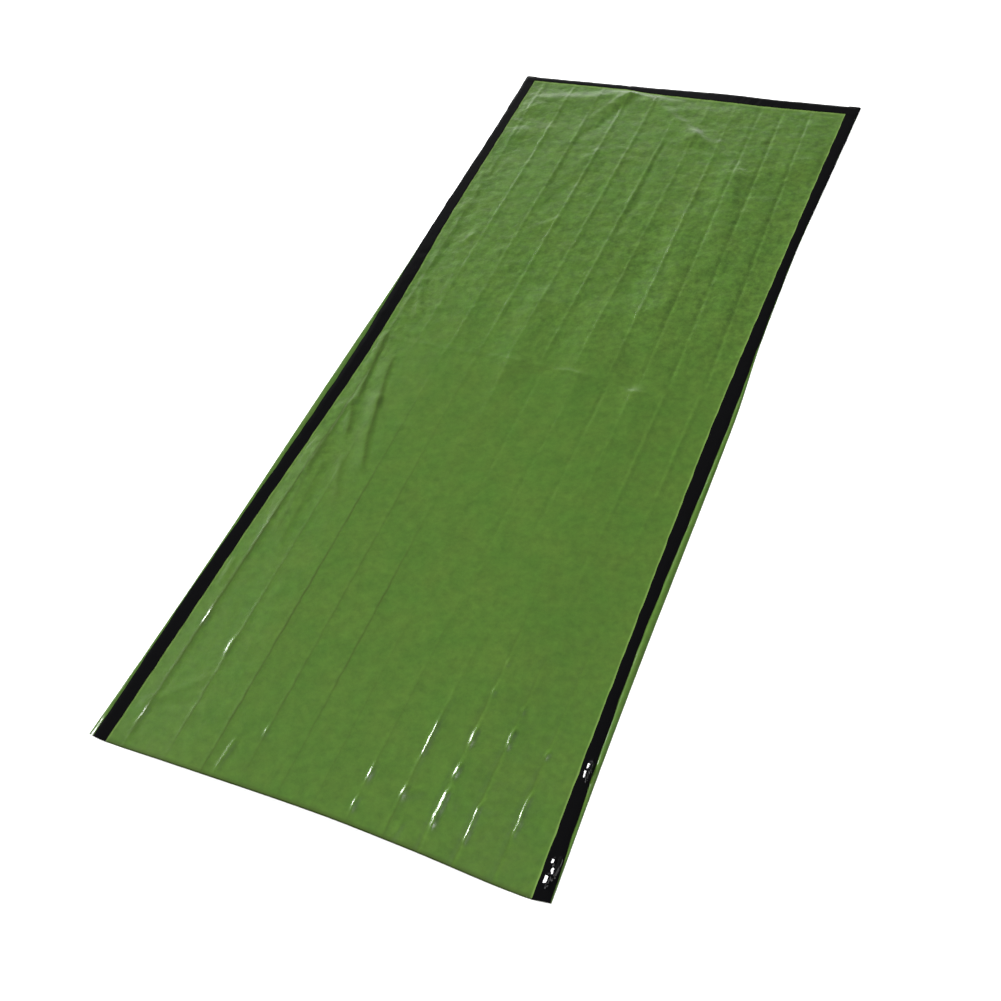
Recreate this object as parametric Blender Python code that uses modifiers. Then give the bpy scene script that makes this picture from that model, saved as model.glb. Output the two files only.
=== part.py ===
"""Emergency sleeping bag of thin plastic film, lying open and empty on a flat surface.

A back film lies flat. A creased front film lies on it, a little air between them. Black
adhesive tape closes both long sides and the foot, and the mouth stays open. Metres, +Z up,
+Y towards the foot, origin in the middle of the bag at the level of the surface.

Places on the bag are given as across, from the left edge, and along, from the foot edge.
"""

from collections import namedtuple

import bmesh
import bpy
import numpy as np

MM = 0.001

# Driving sizes
FILM_THICKNESS = 1.0 * MM
TAPE_THICKNESS = 1.0 * MM
LAYER_GAP = 0.3 * MM
LAYER_STEP = FILM_THICKNESS + LAYER_GAP

# Air between the films, as the height that the front film gains over its seams, and how far
# from the seams and from the mouth it changes
LOFT = 9.0 * MM
MOUTH_LOFT = 6.5 * MM
MOUTH_FALL = 320 * MM
SIDE_RISE = 70 * MM
FOOT_RISE = 130 * MM
SWELL_POWER = 2.5

# Seams: how far the tape holds the back film alone before it climbs onto the front film
SIDE_LAP, SIDE_CLIMB = 8 * MM, 5 * MM
FOOT_LAP, FOOT_CLIMB = 5 * MM, 3.5 * MM
EDGE_CLEARANCE = 1 * MM
TAPE_CROSSING = 9 * MM

# Creases and folds: their sizes, the share of them left in the mouth half (upside down) and
# lost at the mouth, and how far from the seams they begin
CREASE_HALF_WIDTH = 9 * MM
CREASE_HEIGHT = 1.8 * MM
CREASE_JUMP = 20 * MM
STRIP_SAG = 0.8 * MM
MIDDLE_CREASE_HEIGHT = 1.4 * MM
MOUTH_CREASE_ALONG = 2018 * MM
MOUTH_CREASE_HEIGHT = 0.6 * MM
MOUTH_HALF_SHARE = -0.65
MOUTH_LOSS = 0.4
SIDE_FREE = 24 * MM
FOOT_FREE = 32 * MM
FOLD_FADE = 0.45

FILM_GREEN = (0.105, 0.225, 0.05, 1.0)
TAPE_BLACK = (0.004, 0.004, 0.005, 1.0)

# Left edge in mm: along, film edge, outer and inner edge of the tape
LEFT_SIDE = np.array([
    (0, 0, 0, 30),
    (300, 6, 6, 34),
    (600, 7, 7, 38),
    (850, 9, 13, 49),
    (1100, 6, 20, 54),
    (1350, 4, 17, 48),
    (1600, 3, 9, 40),
    (1850, -1, 3, 36),
    (2130, -9, 2, 32),
]) * MM

# Right edge in mm: along, film edge, outer and inner edge of the tape
RIGHT_SIDE = np.array([
    (0, 912, 912, 882),
    (300, 902, 902, 876),
    (600, 893, 892, 871),
    (850, 895, 893, 867),
    (1100, 905, 896, 865),
    (1350, 906, 894, 868),
    (1600, 906, 892, 872),
    (1850, 908, 898, 876),
    (2130, 914, 912, 882),
]) * MM

# Foot edge in mm: across, film and tape edge, inner edge of the tape
FOOT_SIDE = np.array([
    (0, 0, 18),
    (300, 0, 19),
    (360, 0, 26),
    (480, -2, 30),
    (570, -3, 32),
    (700, 2, 36),
    (914, 2, 34),
]) * MM

# Crease across the middle and plain mouth edge in mm: across, along
MIDDLE_CREASE = np.array([(0, 1041), (400, 1041), (540, 1044), (670, 1063), (914, 1075)]) * MM
MOUTH_EDGE = np.array([
    (-9, 2127),
    (32, 2130),
    (170, 2127),
    (480, 2122),
    (650, 2126),
    (872, 2135),
    (914, 2130),
]) * MM

# Nominal distance from the foot edge to the middle crease and to the mouth
MIDDLE = MIDDLE_CREASE[0, 1]
LENGTH = 2130 * MM

# Long creases of the packed bag in mm: across at the foot, before and after the middle crease,
# and at the mouth, then whether the foot half stands up in a ridge, 1, or dips in a groove, -1
Crease = namedtuple("Crease", "foot before_middle after_middle mouth sign")
LONG_CREASES = (
    Crease(72, 74, 82, 70, 1),
    Crease(150, 148, 151, 160, 1),
    Crease(230, 229, 229, 240, 1),
    Crease(308, 301, 307, 319, 1),
    Crease(387, 378, 385, 395, 1),
    Crease(461, 453, 465, 464, 1),
    Crease(536, 528, 545, 534, 1),
    Crease(608, 612, 618, 607, 1),
    Crease(671, 684, 672, 676, -1),
    Crease(732, 746, 741, 741, -1),
    Crease(804, 812, 812, 814, -1),
)

# Single folds in mm: where each starts and ends, its half width and its height
Fold = namedtuple("Fold", "start end half_width height")
FOLDS = (
    Fold((318, 40), (240, 210), 17, -3.2),
    Fold((303, 39), (246, 139), 12, 1.8),
    Fold((290, 42), (90, 92), 18, 2.0),
    Fold((348, 36), (545, 185), 14, 2.8),
    Fold((545, 185), (660, 265), 14, 1.5),
    Fold((400, 62), (590, 125), 20, -2.0),
    Fold((400, 42), (600, 80), 14, 1.4),
    Fold((70, 235), (146, 240), 16, 1.8),
    Fold((92, 330), (88, 640), 14, -1.4),
    Fold((285, 440), (262, 590), 20, 1.0),
    Fold((715, 330), (733, 520), 18, -1.6),
    Fold((548, 590), (604, 880), 20, -2.0),
    Fold((655, 900), (676, 1030), 20, -1.5),
    Fold((76, 1035), (126, 1330), 14, -1.8),
    Fold((133, 1150), (204, 1395), 14, -1.8),
)

# Rows of the front film, as fractions from foot to middle crease and on to the mouth
FOOT_HALF_ROWS = (0, 0.03, 0.05, 0.07, 0.09, 0.115, 0.14, 0.17, 0.2, 0.235, 0.275, 0.32)
FOOT_HALF_ROWS_BETWEEN = 10
MIDDLE_CREASE_ROWS = (0.95, 0.99, 1.0, 1.01, 1.05)
MOUTH_HALF_ROWS_BETWEEN = 9
MOUTH_CREASE_ROWS = (1.878, 1.89, 1.902, 1.95, 2.0)

# Columns of the front film beside and between the long creases, as shares of each strip
LEFT_STRIP_COLUMNS = (0.3, 0.65)
STRIP_COLUMNS = (0.33, 0.67)
RIGHT_STRIP_COLUMNS = (0.4, 0.75)

BACK_FILM_ROWS, BACK_FILM_COLUMNS = 22, 19
SIDE_TAPE_ROWS_FROM, SIDE_TAPE_ROWS = 100 * MM, 24
FOOT_TAPE_COLUMNS_FROM, FOOT_TAPE_COLUMNS = 40 * MM, 21


def smooth_curve(knots, values, at):
    """Curve through the values that never swings past them: a cubic between each two knots,
    whose slope at a knot is the harmonic mean of its neighbours' or, at a turn, nothing."""
    run = np.diff(knots)
    slope = np.diff(values) / run
    before, after = slope[:-1], slope[1:]
    rising = before * after > 0
    inner = np.zeros(len(before))
    inner[rising] = 2 * before[rising] * after[rising] / (before + after)[rising]
    tangent = np.concatenate([slope[:1], inner, slope[-1:]])
    at = np.clip(at, knots[0], knots[-1])
    i = np.clip(np.searchsorted(knots, at, side="right") - 1, 0, len(run) - 1)
    t = (at - knots[i]) / run[i]
    return (
        (1 + 2 * t) * (1 - t) ** 2 * values[i]
        + t * (1 - t) ** 2 * run[i] * tangent[i]
        + t**2 * (3 - 2 * t) * values[i + 1]
        + t**2 * (t - 1) * run[i] * tangent[i + 1]
    )


def ease(t):
    """From 0 to 1 with level ends."""
    t = np.clip(t, 0, 1)
    return t * t * (3 - 2 * t)


def swell(t):
    """From 0 to 1, steep at first and level at the end, like film blown up from its seam."""
    return 1 - (1 - np.clip(t, 0, 1)) ** SWELL_POWER


def tent(away):
    """A straight-sided ridge of height 1, as high as it is far from one half width away."""
    return np.clip(1 - away / CREASE_HALF_WIDTH, 0, 1)


def side_edges(side, along):
    """Film edge, outer and inner tape edge of one side, as across."""
    return [smooth_curve(side[:, 0], side[:, column], along) for column in (1, 2, 3)]


def foot_edges(across):
    """Outer and inner edge of the foot tape, as along."""
    return [smooth_curve(FOOT_SIDE[:, 0], FOOT_SIDE[:, column], across) for column in (1, 2)]


def middle_crease(across):
    return smooth_curve(MIDDLE_CREASE[:, 0], MIDDLE_CREASE[:, 1], across)


def mouth_edge(across):
    return smooth_curve(MOUTH_EDGE[:, 0], MOUTH_EDGE[:, 1], across)


def front_film_step(across, along):
    """Height that a tape gains where the front film lies under it: none on the back film's
    margin, and a full layer from the front film's edges inwards."""
    _, left, _ = side_edges(LEFT_SIDE, along)
    _, right, _ = side_edges(RIGHT_SIDE, along)
    foot, _ = foot_edges(across)
    over_left = (across - left - SIDE_LAP) / SIDE_CLIMB
    over_right = (right - across - SIDE_LAP) / SIDE_CLIMB
    over_foot = (along - foot - FOOT_LAP) / FOOT_CLIMB
    return LAYER_STEP * np.clip(np.minimum(np.minimum(over_left, over_right), over_foot), 0, 1)


def crease_across(crease, along):
    """Where a long crease runs: straight in each half, with a small jump at the middle."""
    knots = (0, MIDDLE - CREASE_JUMP, MIDDLE + CREASE_JUMP, LENGTH)
    return np.interp(along, knots, np.array(crease[:4]) * MM)


def crease_relief(across, along):
    """Ridges and grooves along the long creases, which change places at the middle crease, and
    the sag of the strips between them."""
    half = np.where(along < middle_crease(across), 1, MOUTH_HALF_SHARE)
    lines = np.array([crease_across(crease, along) for crease in LONG_CREASES])
    signs = np.array([crease.sign for crease in LONG_CREASES]).reshape(-1, *[1] * along.ndim)
    away = np.abs(across - lines)
    ridges = (signs * half * tent(away)).sum(axis=0)
    strip = np.diff(lines, axis=0).mean()
    sag = ease(away.min(axis=0) / (0.5 * strip))
    return CREASE_HEIGHT * ridges - STRIP_SAG * sag


def cross_creases(across, along):
    """The crease across the middle and the faint one before the mouth, as low ridges."""
    middle = MIDDLE_CREASE_HEIGHT * tent(np.abs(along - middle_crease(across)))
    return middle + MOUTH_CREASE_HEIGHT * tent(np.abs(along - MOUTH_CREASE_ALONG))


def fold_relief(across, along):
    """Single folds: each a soft ridge or trough along a straight line, lower at its far end."""
    total = np.zeros_like(across)
    for fold in FOLDS:
        start = np.array(fold.start) * MM
        run = np.array(fold.end) * MM - start
        share = ((across - start[0]) * run[0] + (along - start[1]) * run[1]) / (run @ run)
        nearest = np.clip(share, 0, 1)
        away = np.hypot(across - start[0] - nearest * run[0], along - start[1] - nearest * run[1])
        height = fold.height * MM * (1 - FOLD_FADE * nearest)
        total += height * np.exp(-((away / (fold.half_width * MM)) ** 2))
    return total


def front_film_height(across, along):
    """Underside of the front film: flat under the tapes, then up over the enclosed air."""
    _, _, left = side_edges(LEFT_SIDE, along)
    _, _, right = side_edges(RIGHT_SIDE, along)
    _, foot = foot_edges(across)
    from_left = across - left - EDGE_CLEARANCE
    from_right = right - across - EDGE_CLEARANCE
    from_foot = along - foot - EDGE_CLEARANCE
    air = swell(from_left / SIDE_RISE) * swell(from_right / SIDE_RISE)
    air *= swell(from_foot / FOOT_RISE)
    free = ease(from_left / SIDE_FREE) * ease(from_right / SIDE_FREE)
    free *= ease(from_foot / FOOT_FREE)
    to_mouth = ease((along - mouth_edge(across) + MOUTH_FALL) / MOUTH_FALL)
    loft = LOFT + (MOUTH_LOFT - LOFT) * to_mouth
    relief = crease_relief(across, along) + cross_creases(across, along)
    relief *= 1 - MOUTH_LOSS * to_mouth
    return LAYER_STEP + loft * air + free * (relief + fold_relief(across, along))


def to_frame(across, along, height):
    """Places on the bag as points in the object's frame."""
    middle_across = (LEFT_SIDE[:, 1].min() + RIGHT_SIDE[:, 1].max()) / 2
    middle_along = (FOOT_SIDE[:, 1].min() + MOUTH_EDGE[:, 1].max()) / 2
    return np.stack([across - middle_across, middle_along - along, height], axis=-1)


def make_material(name, colour, roughness):
    material = bpy.data.materials.new(name)
    material.use_nodes = True
    shader = material.node_tree.nodes["Principled BSDF"]
    shader.inputs["Base Color"].default_value = colour
    shader.inputs["Roughness"].default_value = roughness
    shader.inputs["Metallic"].default_value = 0.0
    return material


def make_sheet(name, points, thickness, material, collection):
    """A sheet of even thickness, whose underside is the grid of points: rows from the foot to
    the mouth, columns from left to right."""
    rows, columns = points.shape[:2]
    grid = bmesh.new()
    bmesh.ops.create_grid(grid, x_segments=columns - 1, y_segments=rows - 1, size=1)
    mesh = bpy.data.meshes.new(name)
    grid.to_mesh(mesh)
    grid.free()
    flat = np.empty(len(mesh.vertices) * 3, np.float32)
    mesh.vertices.foreach_get("co", flat)
    flat = flat.reshape(-1, 3)
    column = np.rint((flat[:, 0] + 1) / 2 * (columns - 1)).astype(int)
    row = np.rint((1 - flat[:, 1]) / 2 * (rows - 1)).astype(int)
    mesh.vertices.foreach_set("co", points[row, column].astype(np.float32).ravel())
    mesh.update()
    mesh.shade_smooth()
    mesh.materials.append(material)
    sheet = bpy.data.objects.new(name, mesh)
    collection.objects.link(sheet)
    wall = sheet.modifiers.new("Thickness", "SOLIDIFY")
    wall.thickness = thickness
    wall.offset = 1
    return sheet


def back_film_points():
    """The flat back film, from its left to its right edge and from the foot to the mouth."""
    down = np.linspace(0, 1, BACK_FILM_ROWS)[:, None]
    share = np.linspace(0, 1, BACK_FILM_COLUMNS)[None, :]
    left, right = [side_edges(side, down * LENGTH)[0] for side in (LEFT_SIDE, RIGHT_SIDE)]
    across = left + share * (right - left)
    foot, _ = foot_edges(across)
    along = foot + down * (mouth_edge(across) - foot)
    return to_frame(across, along, np.zeros_like(across))


def front_film_rows():
    """Fractions along the bag, 0 at the foot, 1 at the middle crease and 2 at the mouth."""
    foot_span = (FOOT_HALF_ROWS[-1], MIDDLE_CREASE_ROWS[0])
    mouth_span = (MIDDLE_CREASE_ROWS[-1], MOUTH_CREASE_ROWS[0])
    foot_half = np.linspace(*foot_span, FOOT_HALF_ROWS_BETWEEN + 2)[1:-1]
    mouth_half = np.linspace(*mouth_span, MOUTH_HALF_ROWS_BETWEEN + 2)[1:-1]
    parts = (FOOT_HALF_ROWS, foot_half, MIDDLE_CREASE_ROWS, mouth_half, MOUTH_CREASE_ROWS)
    return np.concatenate(parts)[:, None]


def between(start, end, shares):
    """Columns at the given shares of the way from one column to another."""
    return [start + share * (end - start) for share in shares]


def front_film_points():
    """The creased front film: columns run along its edges, the tapes' inner edges, both feet and
    the crest of each long crease, and the strips between them."""
    rows = front_film_rows()
    nominal = np.interp(rows, (0, 1, 2), (0, MIDDLE, LENGTH))
    _, left_outer, left_inner = side_edges(LEFT_SIDE, nominal)
    _, right_outer, right_inner = side_edges(RIGHT_SIDE, nominal)
    lap = SIDE_LAP + SIDE_CLIMB + EDGE_CLEARANCE
    left_start, right_start = left_inner + EDGE_CLEARANCE, right_inner - EDGE_CLEARANCE
    columns = [left_outer + lap, left_start]
    strip_columns = LEFT_STRIP_COLUMNS
    for crease in LONG_CREASES:
        crest = crease_across(crease, nominal)
        columns += between(columns[-1], crest - CREASE_HALF_WIDTH, strip_columns)
        columns += [crest - CREASE_HALF_WIDTH, crest, crest + CREASE_HALF_WIDTH]
        strip_columns = STRIP_COLUMNS
    columns += between(columns[-1], right_start, RIGHT_STRIP_COLUMNS)
    columns += [right_start, right_outer - lap]
    across = np.concatenate(columns, axis=1)
    foot_edge, foot_tape = foot_edges(across)
    foot = foot_edge + FOOT_LAP + FOOT_CLIMB + EDGE_CLEARANCE
    middle, mouth = middle_crease(across), mouth_edge(across)
    foot_half = foot + np.minimum(rows, 1) * (middle - foot)
    along = foot_half + np.clip(rows - 1, 0, 1) * (mouth - middle)
    along[1] = foot_tape[0] + EDGE_CLEARANCE
    return to_frame(across, along, front_film_height(across, along))


def side_tape_points(side, outward):
    """A seam tape from its outer to its inner edge: on the margin of the back film, up over the
    edge of the front film and, at the foot, over the foot tape."""
    _, foot_tape = foot_edges(side[0, 2:4])
    crossed = foot_tape.max() + EDGE_CLEARANCE
    near_foot = (0, FOOT_LAP, FOOT_LAP + FOOT_CLIMB, crossed, crossed + TAPE_CROSSING)
    rest = np.linspace(SIDE_TAPE_ROWS_FROM, LENGTH, SIDE_TAPE_ROWS)
    nominal = np.concatenate([near_foot, rest])[:, None]
    _, outer, inner = side_edges(side, nominal)
    lap = outer - outward * SIDE_LAP
    climbed = lap - outward * SIDE_CLIMB
    columns = [outer, lap, climbed, inner]
    if outward > 0:
        columns.reverse()
    across = np.concatenate(columns, axis=1)
    foot, _ = foot_edges(across)
    stretch = nominal / LENGTH
    along = nominal + (1 - stretch) * foot + stretch * (mouth_edge(across) - LENGTH)
    over_tape = np.clip((crossed + TAPE_CROSSING - nominal) / TAPE_CROSSING, 0, 1)
    height = LAYER_STEP + front_film_step(across, along) + LAYER_STEP * over_tape
    return to_frame(across, along, height)


def foot_tape_points():
    """The tape across the foot, from the left to the right edge of the films."""
    left, right = [side_edges(side, 0.0)[0] for side in (LEFT_SIDE, RIGHT_SIDE)]
    lap, climb = SIDE_LAP, SIDE_LAP + SIDE_CLIMB
    inset = FOOT_TAPE_COLUMNS_FROM
    middle = np.linspace(left + inset, right - inset, FOOT_TAPE_COLUMNS)
    ends = ([left, left + lap, left + climb], middle, [right - climb, right - lap, right])
    across = np.concatenate(ends)[None, :]
    outer, inner = foot_edges(across)
    along = np.concatenate([outer, outer + FOOT_LAP, outer + FOOT_LAP + FOOT_CLIMB, inner])
    across = np.repeat(across, len(along), axis=0)
    return to_frame(across, along, LAYER_STEP + front_film_step(across, along))


def main():
    for old in list(bpy.data.objects):
        bpy.data.objects.remove(old)
    bag = bpy.data.collections.new("emergency_sleeping_bag")
    bpy.context.scene.collection.children.link(bag)
    film_back = make_material("Back film green", FILM_GREEN, 0.35)
    film_front = make_material("Front film green", FILM_GREEN, 0.35)
    make_sheet("film_back", back_film_points(), FILM_THICKNESS, film_back, bag)
    make_sheet("film_front", front_film_points(), FILM_THICKNESS, film_front, bag)
    tapes = {
        "tape_left": side_tape_points(LEFT_SIDE, -1),
        "tape_right": side_tape_points(RIGHT_SIDE, 1),
        "tape_foot": foot_tape_points(),
    }
    for name, points in tapes.items():
        label = name.replace("_", " ").capitalize() + " black"
        make_sheet(name, points, TAPE_THICKNESS, make_material(label, TAPE_BLACK, 0.25), bag)


main()
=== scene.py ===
"""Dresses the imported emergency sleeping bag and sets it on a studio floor.

The bag is a creased green film lying on a flat green film, closed along both sides and across
the foot with glossy black tape, and open at the mouth. Places on the bag are given in
millimetres as across, from its left edge, and along, from its foot edge.
"""

from collections import namedtuple

import bpy
import numpy as np
from bpy.props import FloatProperty, FloatVectorProperty, PointerProperty
from mathutils import Matrix, Vector


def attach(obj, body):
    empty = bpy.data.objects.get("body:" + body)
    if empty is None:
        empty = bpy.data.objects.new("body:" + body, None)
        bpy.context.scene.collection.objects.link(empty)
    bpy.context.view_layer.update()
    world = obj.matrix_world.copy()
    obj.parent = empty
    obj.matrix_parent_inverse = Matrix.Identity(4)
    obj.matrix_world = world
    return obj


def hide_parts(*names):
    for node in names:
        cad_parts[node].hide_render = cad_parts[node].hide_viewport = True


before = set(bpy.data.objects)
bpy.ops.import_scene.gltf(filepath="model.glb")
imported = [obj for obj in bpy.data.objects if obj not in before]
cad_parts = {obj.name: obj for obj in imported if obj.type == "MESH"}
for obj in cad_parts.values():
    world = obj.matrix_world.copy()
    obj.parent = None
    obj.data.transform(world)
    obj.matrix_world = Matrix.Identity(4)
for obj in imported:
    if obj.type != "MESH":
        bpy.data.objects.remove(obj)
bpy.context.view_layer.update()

bl_info = {
    "name": "Emergency sleeping bag",
    "version": (1, 0, 0),
    "blender": (4, 5, 0),
    "location": "3D View > Sidebar > Sleeping bag",
    "description": "Builds a flat film sleeping bag with taped seams, and its studio",
    "category": "Object",
}

MM = 0.001

# The bag's middle, as across and along, is the frame's origin
MIDDLE_ACROSS, MIDDLE_ALONG = 452.5, 1066.0

# Where the photograph's eye stands: across, along and height. Places were read as if they lay on
# the surface, so what stands higher is moved towards the eye
EYE = (1379.1, 2665.94, 1834.48)

# Heights: where the solids' second layer begins, how far up in its solid a drawn sheet lies, and
# how far a tape climbs onto what it covers
LAYER_STEP = 1.3
SHEET_LIFT = 0.5
TAPE_STEP = 0.7

# Top of the flat back film, and the front film's lowest, where it rests on the back film
BACK_FILM_TOP = 0.45
FRONT_FILM_LOWEST = 0.9

# How far inside the tapes' outer edges the front film's own edges lie
SIDE_LAP, FOOT_LAP = 14, 9.5

# How far inside the tapes and from the mouth the air under the front film changes its height,
# and how far inside the tapes the creases and folds fade out
SIDE_RISE, FOOT_RISE, MOUTH_FALL = 210, 280, 320
SIDE_FREE, FOOT_FREE = 14, 18

# Sides: along, then film edge, outer and inner edge of the tape at the left and at the right
SIDES = np.array([
    (0, 0, 0, 30, 912, 912, 882),
    (300, 6, 6, 34, 902, 902, 876),
    (600, 7, 7, 38, 893, 892, 871),
    (850, 9, 13, 49, 895, 893, 867),
    (1100, 6, 20, 54, 905, 896, 865),
    (1350, 4, 17, 48, 906, 894, 868),
    (1600, 3, 9, 40, 906, 892, 872),
    (1850, -1, 3, 36, 908, 898, 876),
    (2130, -9, 2, 32, 914, 912, 882),
], float)
LEFT_SIDE, RIGHT_SIDE = (1, 2, 3), (4, 5, 6)

# Foot edge: across, film and tape edge, inner edge of the tape
FOOT_SIDE = np.array([
    (0, 0, 18),
    (300, 0, 19),
    (360, 0, 26),
    (480, -2, 30),
    (570, -3, 32),
    (700, 2, 36),
    (914, 2, 34),
], float)

MIDDLE_CREASE = np.array([(0, 1041), (400, 1041), (540, 1044), (670, 1063), (914, 1075)], float)
MOUTH_EDGE = np.array([
    (-9, 2127),
    (32, 2130),
    (170, 2127),
    (480, 2122),
    (650, 2126),
    (872, 2135),
    (914, 2130),
], float)
MIDDLE, LENGTH = 1041.0, 2130.0
MOUTH_CREASE_ALONG = 2018.0

# How far the back film's lip shows beyond the front film's at the mouth
FRONT_SHORTER = 2.0

# Where the left margin stands up towards the mouth, and where that flap is pinched
FLAP_FROM, FLAP_PINCH = 2083, 2107

# Long creases of the imported bag: across at the foot, before and after the middle crease and at
# the mouth; then, at the stations along the bag, how high each stands, below nothing where it is
# a groove, and how much painted shade darkens its line
Crease = namedtuple("Crease", "places shares lines")
STATIONS = (100, 350, 700, 1000, 1080, 1250, 1500, 1700, 1900, 2000, 2100)
LONG_CREASES = [Crease(*row) for row in (
    ((64, 72, 84, 70),
     (0.8, 0.7, 0.5, 0.8, -0.4, -0.6, 0.4, 0.45, 0.5, 0.45, 0.35),
     (0, 0, 0.5, 0.4, 0.6, 1, 1, 1, 0.8, 0.4, 0.2)),
    ((153, 151, 151, 160),
     (1.1, 1.2, 0.8, 0.4, 0.1, 0.15, 0.3, 0.35, 0.8, 0.5, 0.1),
     (0, 0, 0, 0, 0, 0.2, 0.4, 0.5, 0.6, 0.8, 0.3)),
    ((236, 233, 229, 240),
     (0.7, 1.0, 0.7, 0.5, 0.3, 0.1, 0.2, 0.2, 0.3, 0.5, 0.3),
     (0.2, 0, 0, 0, 0, 0.4, 0.8, 1, 0.9, 0.8, 0.7)),
    ((316, 307, 307, 319),
     (1.1, 1.2, 1.1, 0.6, 0.3, 0.1, 0.15, 0.2, 0.25, 0.3, 0.15),
     (0, 0, 0, 0, 0, 0.3, 0.5, 0.5, 0.6, 0.6, 0.2)),
    ((393, 380, 386, 396),
     (0.8, 1.3, 0.8, 0.5, 0.4, 0.05, 0.1, 0.25, 0.2, 0.1, 0.1),
     (0, 0, 0, 0, 0, 0, 0.2, 0.9, 0.6, 0.5, 0.3)),
    ((468, 456, 466, 465),
     (0.3, 1.3, 1.1, 0.8, -0.5, -0.4, -0.2, 0.1, 0.15, 0.2, 0.1),
     (0, 0, 0.2, 0, 0, 0, 0, 0.1, 0.3, 0.3, 0.2)),
    ((540, 534, 547, 535),
     (0.4, 0.8, 1.0, 0.5, -0.3, -0.4, -0.3, 0.2, 0.25, 0.2, 0.2),
     (0, 0, 0.3, 0, 0, 0.1, 0, 0.2, 0.3, 0.3, 0.1)),
    ((607, 614, 619, 607),
     (0.4, 1.2, 1.3, 0.8, -0.8, -0.5, -0.2, 0.15, 0.9, 1.0, 0.3),
     (0, 0, 0.2, 0.1, 0, 0, 0, 0.1, 0.3, 0.5, 0.5)),
    ((670, 682, 678, 673),
     (-0.9, -1.1, -1.2, -0.9, 0.8, 0.4, -0.05, -0.3, -0.8, -0.9, -0.9),
     (0, 0, 0, 0.2, 0, 0, 0, 0.3, 0.3, 0.2, 0)),
    ((727, 745, 747, 738),
     (-1.1, -1.3, -1.1, -1.0, 1.0, 0.8, 0.2, -0.1, -0.6, -0.7, -0.7),
     (0, 0, 0, 0, 0, 0, 0, 0.1, 0.3, 0.4, 0.2)),
    ((795, 820, 818, 811),
     (-1.2, -1.2, -1.2, -0.9, 0.9, 0.8, 0.15, -0.2, -0.5, -0.8, -0.6),
     (0, 0, 0, 0, 0, 0, 0.1, 0.1, 0.2, 0.4, 0.2)),
)]
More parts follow.
